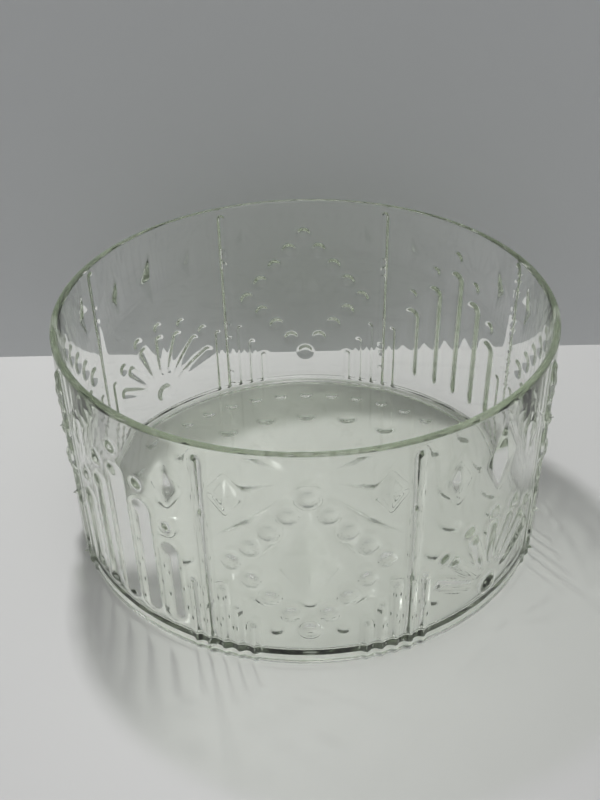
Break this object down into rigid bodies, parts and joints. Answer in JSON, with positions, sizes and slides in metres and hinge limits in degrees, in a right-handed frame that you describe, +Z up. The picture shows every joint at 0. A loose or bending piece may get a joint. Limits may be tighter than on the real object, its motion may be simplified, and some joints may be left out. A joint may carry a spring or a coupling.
{
  "type": "serving bowl",
  "caption": "Straight-sided serving bowl of clear pressed glass with a flat base, a rounded lip and moulded geometric relief outside.",
  "frame": {"origin": "centre of the resting face of the foot ring, on the table", "axes": "+Z up along the bowl's axis; -Y towards the front, the middle of a diamond panel"},
  "size_m": [0.2108, 0.2108, 0.104],
  "materials": {
    "clear_glass": "gloss"
  },
  "bodies": {
    "root": {"foot_ring": "clear_glass", "base_slab": "clear_glass", "wall": "clear_glass", "rim_lip": "clear_glass", "panel_ribs": "clear_glass", "foot_reeds": "clear_glass", "diamond_bosses": "clear_glass", "diamond_beads": "clear_glass", "fan_rays": "clear_glass", "flutes": "clear_glass", "small_lozenges": "clear_glass", "crown_beads": "clear_glass", "star_rays": "clear_glass", "underside_beads": "clear_glass"}
  },
  "joints": []
}
